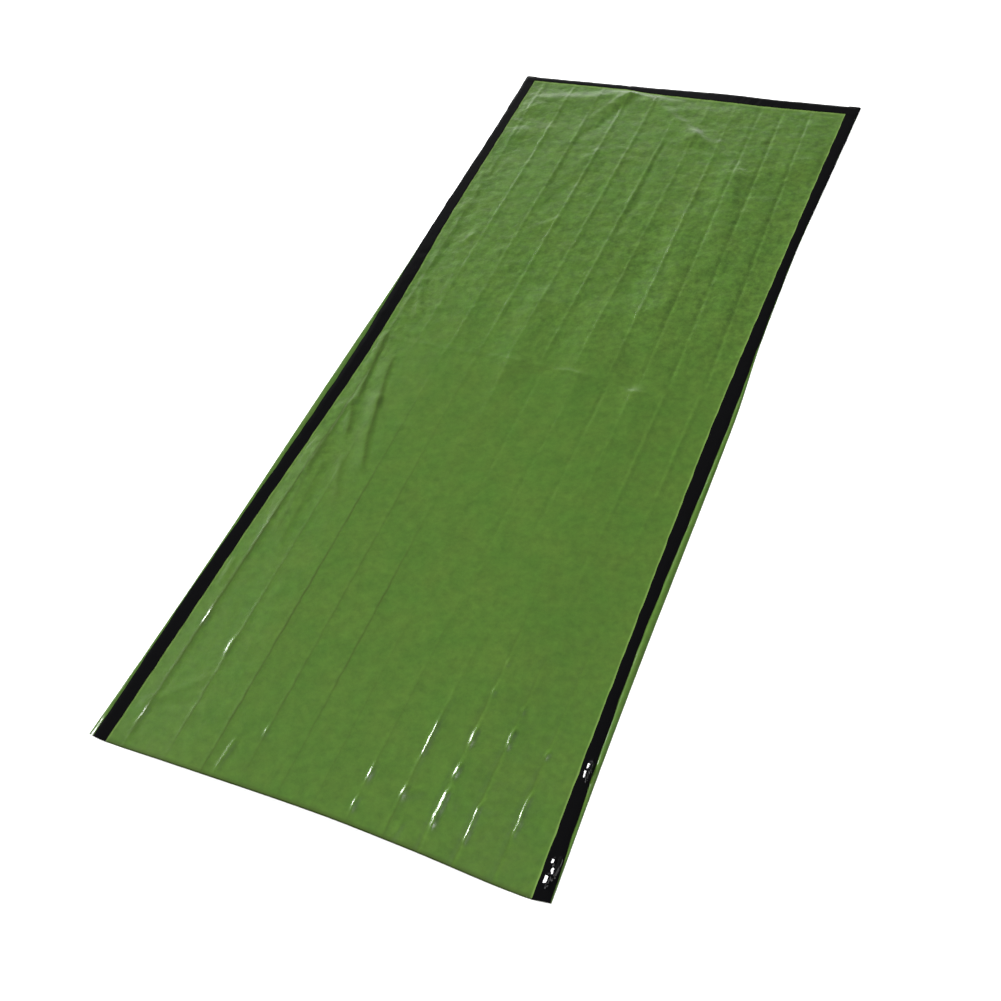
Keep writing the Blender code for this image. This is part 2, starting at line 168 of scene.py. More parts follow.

# Single folds: the path of the crest, the half widths on its left and on its right as one walks
# along it, the heights at its start and end, a trough where they are below nothing, and how much
# painted shade darkens its line
Fold = namedtuple("Fold", "path widths heights line", defaults=(0,))
FOLDS = [Fold(*row) for row in (
    # Pucker at the foot
    (((300, 44), (257, 57), (225, 72), (173, 84), (122, 91), (88, 98)), (50, 26), (4, 4.9)),
    (((318, 32), (298, 63), (273, 107), (256, 142)), (20, 12), (2.8, 1.8)),
    (((336, 44), (312, 100), (292, 150), (280, 192), (256, 214), (247, 250), (246, 430)),
     (20, 9), (-1.8, -1)),
    (((350, 36), (376, 58), (408, 83), (441, 109), (475, 135), (509, 159), (533, 181)),
     (22, 46), (3.2, 3.9)),
    (((546, 190), (596, 214), (662, 268)), (20, 34), (2.9, 0.8)),
    (((404, 46), (433, 62), (473, 76), (507, 81), (557, 83), (612, 78)), (22, 46), (2.6, 1.9)),
    (((546, 234), (606, 250)), (7, 7), (-0.8, -0.5)),
    (((620, 210), (640, 244)), (6, 6), (-0.8, -0.8)),
    (((82, 142), (126, 148)), (20, 34), (2.4, 1.8)),
    (((66, 247), (100, 230), (146, 223)), (19, 34), (2.5, 1.9)),
    (((64, 273), (95, 262), (124, 256)), (9, 16), (1.4, 1)),
    (((66, 318), (150, 322)), (30, 50), (-1.8, -1.6)),
    (((812, 92), (824, 140), (838, 190), (844, 250)), (30, 60), (1.6, 4.6)),
    # Foot half
    (((82, 332), (80, 440)), (10, 7), (-1.3, -1.3)),
    (((50, 425), (68, 505)), (8, 8), (1.5, 1.1)),
    (((78, 455), (90, 490)), (6, 6), (1, 0.7)),
    (((54, 540), (66, 622)), (9, 8), (1.5, 1.1)),
    (((80, 590), (86, 660), (84, 780)), (10, 9), (-1.5, -1.2)),
    (((124, 664), (111, 702)), (8, 7), (1.6, 1)),
    (((112, 735), (138, 800)), (9, 9), (0.9, 0.9)),
    (((312, 296), (292, 326), (276, 364)), (30, 10), (1.4, 1)),
    (((292, 430), (272, 480), (256, 540)), (18, 14), (-1.6, -1)),
    (((311, 562), (292, 582), (262, 605)), (16, 8), (1.9, 1.2)),
    (((476, 236), (471, 300), (478, 350), (473, 410), (486, 478)), (9, 8), (-1.2, -1.2)),
    (((475, 490), (474, 580)), (9, 8), (-1, -1)),
    (((686, 320), (698, 420), (712, 520), (728, 640)), (24, 40), (5.2, 3.4)),
    (((684, 305), (722, 304)), (7, 7), (0.4, 0.4)),
    (((562, 560), (572, 640), (580, 710)), (34, 38), (-1.6, -3.2)),
    (((550, 716), (568, 772), (590, 832), (610, 884)), (40, 44), (-1.6, -4.4)),
    (((544, 862), (546, 1036)), (56, 50), (4.4, 4.4)),
    (((622, 490), (636, 600), (650, 700), (662, 800)), (24, 34), (2.8, 3)),
    (((620, 840), (626, 950)), (50, 40), (4.6, 4.2)),
    (((636, 946), (658, 1000), (676, 1040)), (26, 34), (-3, -3)),
    (((609, 917), (632, 942), (652, 955)), (10, 7), (-1.6, -1.1)),
    (((774, 430), (786, 600), (796, 860)), (26, 40), (2.6, 2.8)),
    (((760, 655), (800, 700)), (6, 6), (-0.7, -0.6)),
    (((388, 862), (394, 1034)), (58, 50), (4.6, 4.6)),
    (((396, 880), (452, 922)), (9, 9), (-1.5, -1.2)),
    (((160, 852), (190, 868), (228, 894)), (7, 7), (-0.9, -0.7)),
    (((338, 822), (372, 818)), (6, 6), (0.6, 0.5)),
    (((338, 841), (370, 837)), (6, 6), (0.6, 0.5)),
    (((336, 861), (366, 857)), (6, 6), (0.5, 0.5)),
    (((58, 680), (70, 780)), (10, 10), (1.2, 0.9)),
    (((76, 842), (92, 890), (112, 964)), (11, 9), (2.2, 1.4)),
    (((72, 920), (88, 1000)), (12, 12), (0.8, 1.3)),
    (((141, 775), (143, 870)), (7, 7), (0.8, 0.6)),
    (((498, 1046), (530, 1044), (550, 1051)), (5, 5), (1.2, 1.5)),
    (((670, 1066), (688, 1068)), (5, 5), (0.7, 0.7)),
    # Mouth half
    (((71, 1032), (77, 1080), (84, 1130), (90, 1180), (99, 1230)), (4.5, 18), (2, 3), 1),
    (((92, 1246), (104, 1270), (117, 1305), (123, 1328)), (4.5, 18), (3, 2.2), 1),
    (((90, 1240), (106, 1240)), (5, 5), (1.2, 0.8)),
    (((84, 1262), (85, 1330), (85, 1440)), (6, 22), (1.4, 1.6), 1),
    (((86, 1380), (94, 1480), (104, 1600)), (16, 30), (2.8, 1.6), 0.5),
    (((77, 1500), (72, 1800), (69, 2100)), (6, 22), (1.1, 0.9), 0.8),
    (((121, 1100), (132, 1160), (149, 1225)), (4.5, 20), (1.4, 2.8), 1),
    (((149, 1225), (161, 1275), (174, 1330), (189, 1370), (199, 1400)), (5, 22), (3, 2.6), 1),
    (((148, 1400), (158, 1435), (168, 1460), (184, 1492)), (6, 10), (1.2, 0.8), 0.5),
    (((112, 1420), (120, 1530), (126, 1630)), (8, 12), (1.3, 1), 0.4),
    (((166, 1147), (226, 1143)), (6, 5), (-0.7, -0.5)),
    (((224, 1283), (270, 1285)), (6, 7), (0.9, 0.6)),
    (((384, 1290), (410, 1287)), (6, 6), (0.7, 0.5)),
    (((472, 1128), (504, 1126)), (5, 5), (0.6, 0.5)),
    (((472, 1145), (504, 1143)), (5, 5), (0.6, 0.5)),
    (((474, 1162), (500, 1160)), (5, 5), (0.5, 0.4)),
    (((547, 1275), (576, 1272)), (6, 6), (0.6, 0.5)),
    (((622, 1366), (664, 1362)), (5, 5), (0.7, 0.5)),
    (((626, 1382), (660, 1378)), (5, 5), (0.6, 0.5)),
    (((684, 1070), (698, 1130), (710, 1190)), (26, 18), (3, 1.2)),
    (((552, 1072), (560, 1200)), (40, 22), (2.2, 1)),
    (((392, 1060), (396, 1200)), (40, 22), (2, 0.8)),
    (((52, 1700), (56, 1750)), (6, 6), (1.2, 0.9)),
    (((76, 1560), (80, 1660)), (8, 8), (0.9, 0.8)),
    (((160, 2004), (72, 2036)), (7, 7), (-0.9, -0.7)),
    (((147, 1955), (58, 2040)), (9, 9), (0.8, 0.7)),
    (((610, 2043), (634, 2029)), (8, 8), (1.3, 1)),
    (((628, 2090), (626, 2114)), (6, 6), (1.2, 1)),
    (((686, 2006), (702, 2032)), (7, 7), (1.2, 0.8)),
)]

# Sharp crumples apart from the creases, one on the film and some on the right tape near the
# mouth: path of the crest, the widths of the facets on its left and on its right as one walks
# along it, and height
Facet = namedtuple("Facet", "path widths height")
FILM_FACETS = (Facet(((268, 2050), (264, 2106)), (9, 5), 1.9),)
TAPE_FACETS = (
    Facet(((894, 1889), (895, 1900)), (3, 9), 5.2),
    Facet(((891, 1904), (893, 1916)), (3, 7), 4.0),
    Facet(((905, 2061), (905, 2071)), (3, 8), 4.5),
    Facet(((895, 2063), (895, 2070)), (3, 6), 3.4),
    Facet(((904, 2077), (903, 2087)), (3, 10), 5.6),
    Facet(((896, 2092), (896, 2104)), (3, 8), 4.5),
)

# Short sharp crumples along the long creases near the mouth, which catch the light: crease, from
# and to along, how far right of the crease the crest is, widths of the rising and falling facet,
# and height
Crumple = namedtuple("Crumple", "crease start end crest rise fall height")
CRUMPLES = [Crumple(*row) for row in (
    (0, 1812, 1853, 0, 5, 9, 1.3),
    (0, 2033, 2076, 0, 5, 9, 1.08),
    (1, 1856, 1900, -5, 5, 9, 1.4),
    (3, 2002, 2026, -2, 5, 9, 1.7),
    (6, 2003, 2045, 0, 5, 8, 2.1),
    (6, 2068, 2100, 0, 5, 8, 2.1),
    (7, 1896, 1970, -1, 3.5, 6, 1.35),
    (7, 2022, 2048, -1, 5, 8, 2.1),
    (8, 1742, 1760, 4, 6, 7, 2.2),
    (8, 1802, 1820, 4, 6, 7, 2.2),
    (8, 1886, 1926, 6, 7, 7, 2.7),
    (8, 1956, 1990, 6, 7, 7, 2.7),
    (8, 2006, 2082, 6, 8, 7, 3.2),
    (9, 1822, 1838, 3, 6, 7, 2.8),
    (9, 1868, 1910, 3, 6, 7, 2.8),
    (9, 2016, 2090, 3, 4.5, 6, 2.2),
    (10, 1888, 1904, 3, 6, 7, 3.0),
    (10, 1972, 2052, 3, 4.5, 6, 2.25),
)]


def linear(hex_colour):
    """sRGB hex as linear red, green, blue."""
    srgb = np.array([int(hex_colour[i : i + 2], 16) for i in (1, 3, 5)]) / 255
    curve = ((srgb + 0.055) / 1.055) ** 2.4
    return tuple(float(x) for x in np.where(srgb <= 0.04045, srgb / 12.92, curve))


def smooth_curve(table, column, at):
    """A column of a table as a smooth curve of its first column: a cubic between each two rows,
    whose slope at a row is the harmonic mean of its neighbours' or, at a turn, nothing."""
    knots, values = table[:, 0], table[:, column]
    run = np.diff(knots)
    slope = np.diff(values) / run
    before, after = slope[:-1], slope[1:]
    rising = before * after > 0
    inner = np.zeros(len(before))
    inner[rising] = 2 * before[rising] * after[rising] / (before + after)[rising]
    tangent = np.concatenate([slope[:1], inner, slope[-1:]])
    at = np.clip(at, knots[0], knots[-1])
    i = np.clip(np.searchsorted(knots, at, side="right") - 1, 0, len(run) - 1)
    t = (at - knots[i]) / run[i]
    return (
        (1 + 2 * t) * (1 - t) ** 2 * values[i]
        + t * (1 - t) ** 2 * run[i] * tangent[i]
        + t**2 * (3 - 2 * t) * values[i + 1]
        + t**2 * (t - 1) * run[i] * tangent[i + 1]
    )


def ease(t):
    """From 0 to 1 with level ends: three squares less two cubes."""
    t = np.clip(t, 0, 1)
    return t * t * (3 - 2 * t)


def wander(at, length, seed):
    """An uneven line about nothing, within about one: three sines of unlike lengths, whose starts
    follow from the seed."""
    turn = 2 * np.pi * at / length
    total = np.sin(turn + 1.7 * seed) + 0.7 * np.sin(1.618 * turn + 2.9 * seed)
    return (total + 0.5 * np.sin(2.71 * turn + 4.3 * seed)) / 1.6


def side_edges(side, along):
    """Film edge, outer and inner tape edge of one side, as across."""
    return [smooth_curve(SIDES, column, along) for column in side]


def foot_edges(across):
    """Outer and inner edge of the foot tape, as along."""
    return [smooth_curve(FOOT_SIDE, column, across) for column in (1, 2)]


def middle_crease(across):
    """The crease across the middle, with small zigzags where it meets the long creases."""
    return smooth_curve(MIDDLE_CREASE, 1, across) + 2.0 * wander(across, 90, 3)


def mouth_edge(across):
    """The back film's edge at the mouth, as along."""
    return smooth_curve(MOUTH_EDGE, 1, across)


def to_frame(across, along, height):
    """Places on the bag as points of the frame, in metres."""
    return np.stack([across - MIDDLE_ACROSS, MIDDLE_ALONG - along, height], axis=-1) * MM


def towards_eye(across, along, lift):
    """Places read on the surface, moved to where they are on a film that stands a lift higher."""
    share = lift / EYE[2]
    return across + share * (EYE[0] - across), along + share * (EYE[1] - along)


def crease_across(crease, along):
    """Where a long crease runs: nearly straight in each half, with a small jump at the middle."""
    knots = (0, MIDDLE - 20, MIDDLE + 20, LENGTH)
    straight = np.interp(along, knots, crease.places)
    foot, _, _, mouth = crease.places
    return straight + 0.7 * wander(along, 88, foot) + 0.4 * wander(along, 37, mouth)


def along_path(across, along, path):
    """How far places lie from a path of straight runs, how much of that is to its right as one
    walks along it, from -1 to 1, and their share of the way."""
    path = np.array(path, float)
    runs = np.diff(path, axis=0)
    lengths = np.hypot(runs[:, 0], runs[:, 1])
    behind = np.cumsum(lengths) - lengths
    away = np.full(np.shape(across), np.inf)
    right, share = np.zeros_like(away), np.zeros_like(away)
    for (start_across, start_along), run, length, walked in zip(path, runs, lengths, behind):
        dx, dy = across - start_across, along - start_along
        step = np.clip((dx * run[0] + dy * run[1]) / length**2, 0, 1)
        distance = np.hypot(dx - step * run[0], dy - step * run[1])
        closer = distance < away
        away = np.where(closer, distance, away)
        aside = (run[0] * dy - run[1] * dx) / (length * np.maximum(distance, 0.01))
        right = np.where(closer, aside, right)
        share = np.where(closer, (walked + step * length) / lengths.sum(), share)
    return away, np.clip(right, -1, 1), share


def fold_relief(across, along, fold):
    """A soft ridge along a path: a bell of the distance, whose width goes from the left side's to
    the right side's and whose height goes evenly from its start to its end."""
    away, right, share = along_path(across, along, fold.path)
    width = fold.widths[0] + (fold.widths[1] - fold.widths[0]) * (right + 1) / 2
    height = fold.heights[0] + (fold.heights[1] - fold.heights[0]) * share
    return height * np.exp(-((away / width) ** 2))


def facet_relief(across, along, facets):
    """Sharp crumples: two flat facets rise to each crest, and the higher crumple counts where
    two meet."""
    total = np.zeros_like(across)
    for facet in facets:
        away, right, _ = along_path(across, along, facet.path)
        width = np.where(right > 0, facet.widths[1], facet.widths[0])
        total = np.maximum(total, facet.height * np.clip(1 - away / width, 0, 1))
    return total


def crease_offsets(across, along):
    """How far right of each long crease a place lies."""
    return across - np.array([crease_across(crease, along) for crease in LONG_CREASES])


def at_stations(shares, along, number):
    """A share along a crease, between its stations, uneven by a fifth."""
    uneven = 1 + 0.2 * wander(along, 260, number) + 0.1 * wander(along, 47, number)
    return np.interp(along, STATIONS, shares) * uneven


def crease_relief(offsets, across, along, bag):
    """Ridges and grooves along the long creases, the sag of each strip between them, which is
    less in the mouth half, and the short sharp crumples near the mouth. A ridge rises over one
    crease width and falls over 1.3; a groove falls over 1.3 and rises over one; a fine line
    follows the crest. A crumple has two flat facets, and its crest wavers by a millimetre."""
    total = np.zeros_like(across)
    width = bag.crease_width / MM
    for number, crease in enumerate(LONG_CREASES):
        share = at_stations(crease.shares, along, number)
        offset = offsets[number]
        ridge = ease(1 + offset / width) * ease(1 - offset / (1.3 * width))
        groove = ease(1 + offset / (1.3 * width)) * ease(1 - offset / width)
        total += np.maximum(share, 0) * ridge + np.minimum(share, 0) * groove
        total += 0.05 * share * np.exp(-((offset / 1.6) ** 2))
    total *= bag.crease_height / MM
    away = np.abs(offsets)
    total -= bag.strip_sag / MM * (0.25 + 0.75 * ease((1100 - along) / 100)) * ease(away.min(axis=0) / 39)
    for crumple in CRUMPLES:
        inside = ease((along - crumple.start) / 7) * ease((crumple.end - along) / 7)
        offset = offsets[crumple.crease] - crumple.crest - wander(along, 23, crumple.end)
        facet = np.clip(1 + offset / crumple.rise, 0, 1) * np.clip(1 - offset / crumple.fall, 0, 1)
        total += crumple.height * (1 + 0.24 * wander(along, 15, crumple.start)) * inside * facet
    return total + facet_relief(across, along, FILM_FACETS)


def painted_crease_shade(offsets, across, along):
    """How much painted shade darkens the line of a sharp crease: a bell on each long crease, which
    fades over 2.2 mm to each side, and a slightly wider one on each fold that has a line."""
    total = np.zeros_like(offsets[0])
    for number, crease in enumerate(LONG_CREASES):
        share = at_stations(crease.lines, along, number)
        total = np.maximum(total, share * np.exp(-((offsets[number] / 2.2) ** 2)))
    for fold in FOLDS:
        if fold.line:
            away, _, share = along_path(across, along, fold.path)
            line = fold.line * np.exp(-(((away + 1) / 3.6) ** 2))
            total = np.maximum(total, line * (1 + 0.3 * wander(along, 33, fold.line)))
    return np.minimum(total, 1)


def cross_creases(across, along):
    """The ridge across the middle, uneven along its length, and the faint one before the mouth:
    bells that fade over 5 mm to each side."""
    middle = 0.5 * np.exp(-((along - middle_crease(across)) / 5) ** 2)
    mouth = 0.3 * np.exp(-((along - MOUTH_CREASE_ALONG) / 5) ** 2)
    return middle * (1 + 0.6 * wander(across, 95, 5)) + mouth * ease((across - 280) / 40)


def crumple_relief(across, along):
    """Fine crumple: crossed waves of unlike lengths and bearings, their crests sharpened by
    taking them as absolute values."""
    total = np.zeros_like(across)
    for seed, (length, bearing) in enumerate(((61, 0.4), (47, 1.3), (38, 2.2), (83, 2.8), (55, 0.9))):
        place = across * np.cos(bearing) + along * np.sin(bearing)
        drift = 14 * wander(across - along, 170, seed)
        total += 1 - np.abs(np.sin(np.pi * (place + drift) / length + seed))
    return 0.6 * crumpled_share(across, along) * (total - 1.8)


def crumpled_share(across, along):
    """How crumpled the film is: most towards the foot and beside the left tape, least towards
    the mouth."""
    towards_foot = ease((1150 - along) / 450)
    beside_tape = ease((170 - across) / 110) * ease((1750 - along) / 500)
    return 0.18 + 0.4 * towards_foot + 0.4 * beside_tape


def from_tapes(across, along):
    """How far inside the left, right and foot tape a place of the front film lies."""
    left, right = side_edges(LEFT_SIDE, along)[2], side_edges(RIGHT_SIDE, along)[2]
    return across - left - 1, right - across - 1, along - foot_edges(across)[1] - 1


def air_lift(across, along, bag):
    """How high the enclosed air lifts the front film: nothing at the tapes, level further in,
    and lower again towards the mouth."""
    from_left, from_right, from_foot = from_tapes(across, along)
    to_mouth = ease((along - mouth_edge(across) + MOUTH_FALL) / MOUTH_FALL)
    loft = bag.loft / MM + (bag.mouth_loft - bag.loft) / MM * to_mouth
    return loft * ease(from_left / SIDE_RISE) * ease(from_right / SIDE_RISE) * ease(from_foot / FOOT_RISE)


def front_film_relief(across, along, bag):
    """Height of the front film's creases, folds and crumple, which fade out at the tapes."""
    from_left, from_right, from_foot = from_tapes(across, along)
    free = ease(from_left / SIDE_FREE) * ease(from_right / SIDE_FREE) * ease(from_foot / FOOT_FREE)
    folded = sum(fold_relief(across, along, fold) for fold in FOLDS)
    offsets = crease_offsets(across, along)
    relief = crease_relief(offsets, across, along, bag) + cross_creases(across, along)
    return free * (relief + bag.fold_share * folded + crumple_relief(across, along))


def above_back_film(height):
    """Height of the front film, kept over the back film: a smooth maximum of the two, the
    logarithm of a sum of exponentials."""
    softness = 0.4
    over = height - FRONT_FILM_LOWEST
    return FRONT_FILM_LOWEST + softness * np.logaddexp(0, over / softness)


def between(start, end, count):
    """Columns at even steps between two columns, without them."""
    return [start + (i + 1) / (count + 1) * (end - start) for i in range(count)]


def front_film_grid():
    """Across and along of the front film's grid: columns follow the creases, closer at each
    crest, and rows follow the foot edge, the middle crease and the mouth."""
    foot_rows = np.concatenate([np.linspace(0, 0.3, 76), np.linspace(0.3, 0.97, 93)[1:]])
    middle_rows = np.concatenate([np.linspace(0.975, 1.025, 13), np.linspace(1.025, 1.6, 68)[1:]])
    rows = np.concatenate([foot_rows, middle_rows, np.linspace(1.6, 2, 61)[1:]])[:, None]
    nominal = np.interp(rows, (0, 1, 2), (0, MIDDLE, LENGTH))
    left_edges, right_edges = side_edges(LEFT_SIDE, nominal), side_edges(RIGHT_SIDE, nominal)
    left, right = left_edges[1] + SIDE_LAP, right_edges[1] - SIDE_LAP
    columns = [left, left_edges[2] - 2, left_edges[2] + 1, left_edges[2] + 4]
    for number, crease in enumerate(LONG_CREASES):
        crest = crease_across(crease, nominal)
        start = np.maximum(crest - 9, columns[-1] + 1)
        columns += between(columns[-1], start, 15 if number else 4)
        columns += [start + share * (crest - start) for share in (0, 0.28, 0.5, 0.67, 0.83)]
        columns += [crest] + [crest + step for step in (1.5, 3, 4.5, 6.5, 9, 12)]
    columns += between(columns[-1], right_edges[2] - 4, 10)
    columns += [right_edges[2] - 4, right_edges[2] - 1, right_edges[2] + 2, right]
    across = np.concatenate(columns, axis=1)
    foot, middle = foot_edges(across)[0] + FOOT_LAP, middle_crease(across)
    mouth = mouth_edge(across) - FRONT_SHORTER
    along = foot + np.minimum(rows, 1) * (middle - foot) + np.clip(rows - 1, 0, 1) * (mouth - middle)
    return across, along


def rim_highlight(across, along):
    """How much painted highlight a place on the front film gets beside the tapes' inner edges: most
    beside one, and nothing from 4 mm away."""
    left, right = side_edges(LEFT_SIDE, along)[2], side_edges(RIGHT_SIDE, along)[2]
    foot = foot_edges(across)[1]
    away = np.minimum(np.minimum(across - left, right - across), (along - foot) / 2)
    return 0.35 * np.clip(1 - (away - 1) / 3, 0, 1)


def grid_piece(name, points, thickness, material, attributes=()):
    """A sheet over a grid of points, rows from foot to mouth and columns from left to right,
    facing up, thickened downwards if it is thick, its edges cut sharp."""
    rows, columns = points.shape[:2]
    corner = np.arange(rows * columns).reshape(rows, columns)
    quads = [corner[1:, :-1], corner[1:, 1:], corner[:-1, 1:], corner[:-1, :-1]]
    mesh = bpy.data.meshes.new(name)
    faces = np.stack(quads, axis=-1).reshape(-1, 4)
    mesh.from_pydata(points.reshape(-1, 3).tolist(), [], faces.tolist())
    for label, values in attributes:
        attribute = mesh.attributes.new(label, "FLOAT", "POINT")
        attribute.data.foreach_set("value", values.astype(np.float32).ravel())
    mesh.shade_smooth()
    ends = np.empty(2 * len(mesh.edges), int)
    mesh.edges.foreach_get("vertices", ends)
    row, column = np.divmod(ends.reshape(-1, 2), columns)
    cut = (row == 0).all(axis=1) | (row == rows - 1).all(axis=1)
    cut |= (column == 0).all(axis=1) | (column == columns - 1).all(axis=1)
    mesh.attributes.new("sharp_edge", "BOOLEAN", "EDGE").data.foreach_set("value", cut)
    mesh.materials.append(material)
    piece = bpy.data.objects.new(name, mesh)
    bpy.context.scene.collection.objects.link(piece)
    if thickness:
        wall = piece.modifiers.new("Thickness", "SOLIDIFY")
        wall.thickness = thickness
        wall.offset = -1
    return piece


def add_node(tree, kind, settings):
    """Adds a node and sets its properties and inputs; an input whose value is another node's
    output is linked to it. An input goes by its name or, where names repeat, its number."""
    node = tree.nodes.new(kind)
    for name, value in settings.items():
        if isinstance(value, bpy.types.NodeSocket):
            tree.links.new(value, node.inputs[name])
        elif isinstance(name, int) or name in node.inputs:
            node.inputs[name].default_value = value
        else:
            setattr(node, name, value)
    return node


def new_material(name):
    """A material, its empty node tree, and the object's own coordinates."""
    material = bpy.data.materials.new(name)
    material.use_nodes = True
    tree = material.node_tree
    tree.nodes.clear()
    return material, tree, add_node(tree, "ShaderNodeTexCoord", {}).outputs["Object"]


def polyethylene_film(settings):
    """Green pigmented low-density polyethylene film, blown and rolled: a satin sheen with a
    sharper gloss on top that only catches light where the film is creased. Painted shade darkens
    its sharp folds and the mouth edge, and a painted highlight lightens it beside the tapes."""
    material, tree, place = new_material("green_polyethylene_film")
    colour = np.array(settings.colour)
    noises = []
    for scale, detail, rough in ((11, 6, 0.7), (65, 4, 0.7), (25, 2, 0.5), (40, 3, 0.5), (330, 3, 0.5)):
        inputs = {"Vector": place, "Scale": scale, "Detail": detail, "Roughness": rough}
        noises.append(add_node(tree, "ShaderNodeTexNoise", inputs).outputs)
    pigment, mottle, bend, hollows, grain = noises
    # Pigment drifts between olive and green over a hand's breadth, 90 mm
    patches = add_node(
        tree, "ShaderNodeMapRange", {"Value": pigment["Fac"], "From Min": 0.35, "From Max": 0.65}
    )
    olive = (*(colour * (1.08, 1.01, 1.04)), 1)
    green = (*(colour * (0.9, 0.99, 0.94)), 1)
    hue = add_node(
        tree, "ShaderNodeMix", {"data_type": "RGBA", 0: patches.outputs["Result"], 6: olive, 7: green}
    )
    # A mottle from 15 mm down to 1 mm paints the light and shade of fine crumple, stronger where it is
    # crumpled
    uneven = add_node(
        tree,
        "ShaderNodeMapRange",
        {"Value": mottle["Fac"], "From Min": 0.3, "From Max": 0.7, "To Min": -1.0, "To Max": 1.0},
    )
    crumpled = add_node(tree, "ShaderNodeAttribute", {"attribute_name": "crumpled"}).outputs["Fac"]
    strength = add_node(
        tree,
        "ShaderNodeMapRange",
        {"Value": crumpled, "From Min": 0.18, "From Max": 0.58, "To Min": 0.16, "To Max": 0.32},
    )
    painted_crumple_shade = add_node(
        tree,
        "ShaderNodeMath",
        {"operation": "MULTIPLY_ADD", 0: uneven.outputs["Result"], 1: strength.outputs["Result"], 2: 1.0},
    )
    mottled = add_node(
        tree,
        "ShaderNodeVectorMath",
        {"operation": "SCALE", 0: hue.outputs[2], "Scale": painted_crumple_shade.outputs["Value"]},
    )
    # Painted shade darkens the sharp folds and the mouth edge, and a painted highlight lightens the rim
    # beside the tape
    tone = mottled.outputs["Vector"]
    for mark, marked_colour in (
        ("painted_shade_line", colour * (0.7, 0.6, 0.6)),
        ("rim_highlight", settings.rim_highlight_colour),
    ):
        share = add_node(tree, "ShaderNodeAttribute", {"attribute_name": mark}).outputs["Fac"]
        mix = add_node(
            tree, "ShaderNodeMix", {"data_type": "RGBA", 0: share, 6: tone, 7: (*marked_colour, 1)}
        )
        tone = mix.outputs[2]
    # Crumple: bent ridges about 60 mm apart, soft hollows of 25 mm and a grain of 3 mm
    bent = add_node(
        tree,
        "ShaderNodeVectorMath",
        {"operation": "MULTIPLY_ADD", 0: bend["Color"], 1: (0.04, 0.04, 0), 2: place},
    )
    cells = add_node(
        tree,
        "ShaderNodeTexVoronoi",
        {"feature": "DISTANCE_TO_EDGE", "Vector": bent.outputs["Vector"], "Scale": 17.0},
    )
    normal = {}
    for height, depth in (
        (cells.outputs["Distance"], 4 * MM),
        (hollows["Fac"], 3 * MM),
        (grain["Fac"], 0.7 * MM),
    ):
        bump = add_node(
            tree, "ShaderNodeBump", {"Height": height, "Distance": depth, "Strength": crumpled, **normal}
        )
        normal = {"Normal": bump.outputs["Normal"]}
    shader = add_node(
        tree,
        "ShaderNodeBsdfPrincipled",
        {
            "Base Color": tone,
            "Roughness": settings.roughness,
            "IOR": 1.51,
            "Specular IOR Level": 0.4,
            "Coat Weight": settings.coat,
            "Coat Roughness": 0.21,
            "Coat IOR": 1.5,
            **normal,
        },
    )
    add_node(tree, "ShaderNodeOutputMaterial", {"Surface": shader.outputs["BSDF"]})
    return material


def polypropylene_tape(settings):
    """Black polypropylene packing tape: a glossy backing over black adhesive, whose faint waves
    of 17 mm and less, from being smoothed down by hand, break up the reflections."""
    material, tree, place = new_material("black_polypropylene_tape")
    waves = add_node(tree, "ShaderNodeTexNoise", {"Vector": place, "Scale": 60.0, "Detail": 4.0})
    bump = add_node(
        tree, "ShaderNodeBump", {"Height": waves.outputs["Fac"], "Strength": 0.3, "Distance": 1.0 * MM}
    )
    shader = add_node(
        tree,
        "ShaderNodeBsdfPrincipled",
        {
            "Base Color": (*settings.colour, 1),
            "Roughness": settings.roughness,
            "Specular IOR Level": 0.27,
            "Normal": bump.outputs["Normal"],
        },
    )
    add_node(tree, "ShaderNodeOutputMaterial", {"Surface": shader.outputs["BSDF"]})
    return material


def studio_sweep(settings):
    """Matt white painted studio floor, even and without gloss."""
    material, tree, _ = new_material("white_studio_floor")
    shader = add_node(
        tree, "ShaderNodeBsdfPrincipled", {"Base Color": (*settings.floor_colour, 1), "Roughness": 0.9}
    )
    add_node(tree, "ShaderNodeOutputMaterial", {"Surface": shader.outputs["BSDF"]})
    return material


class BagFilmSettings(bpy.types.PropertyGroup):
    """Sizes and finish of the two films."""

    thickness: FloatProperty(
        name="Film thickness", description="Drawn thickness of a film",
        default=0.3 * MM, min=0.1 * MM, max=1 * MM, unit="LENGTH",
    )
    loft: FloatProperty(
        name="Air", description="Air between the films in the middle",
        default=7 * MM, min=0, max=14 * MM, unit="LENGTH",
    )
    mouth_loft: FloatProperty(
        name="Air at the mouth", description="Air between the films at the open end",
        default=5.5 * MM, min=0, max=14 * MM, unit="LENGTH",
    )
    crease_height: FloatProperty(
        name="Crease height", description="Height of the strongest packing crease",
        default=0.9 * MM, min=0, max=4 * MM, unit="LENGTH",
    )
    crease_width: FloatProperty(
        name="Crease width", description="Width of a crease's steeper flank",
        default=8 * MM, min=2 * MM, max=20 * MM, unit="LENGTH",
    )
    strip_sag: FloatProperty(
        name="Strip sag", description="How far the film sags between two creases",
        default=0.4 * MM, min=0, max=3 * MM, unit="LENGTH",
    )
    fold_share: FloatProperty(
        name="Folds", description="Share of the single folds' full height",
        default=1.0, min=0, max=1.5, subtype="FACTOR",
    )
    colour: FloatVectorProperty(
        name="Film colour", description="Colour of the pigmented film",
        subtype="COLOR", size=3, min=0, max=1, default=linear("#3b561c"),
    )
    # Painted highlight: a pale line on the film along the tapes' inner edges
    rim_highlight_colour: FloatVectorProperty(
        name="Rim colour", description="Film stretched pale beside the tape",
        subtype="COLOR", size=3, min=0, max=1, default=linear("#7c9a4e"),
    )
    roughness: FloatProperty(
        name="Film roughness", description="Roughness of the satin sheen",
        default=0.36, min=0, max=1, subtype="FACTOR",
    )
    coat: FloatProperty(
        name="Film gloss", description="Share of the sharper gloss on top",
        default=1.0, min=0, max=1, subtype="FACTOR",
    )


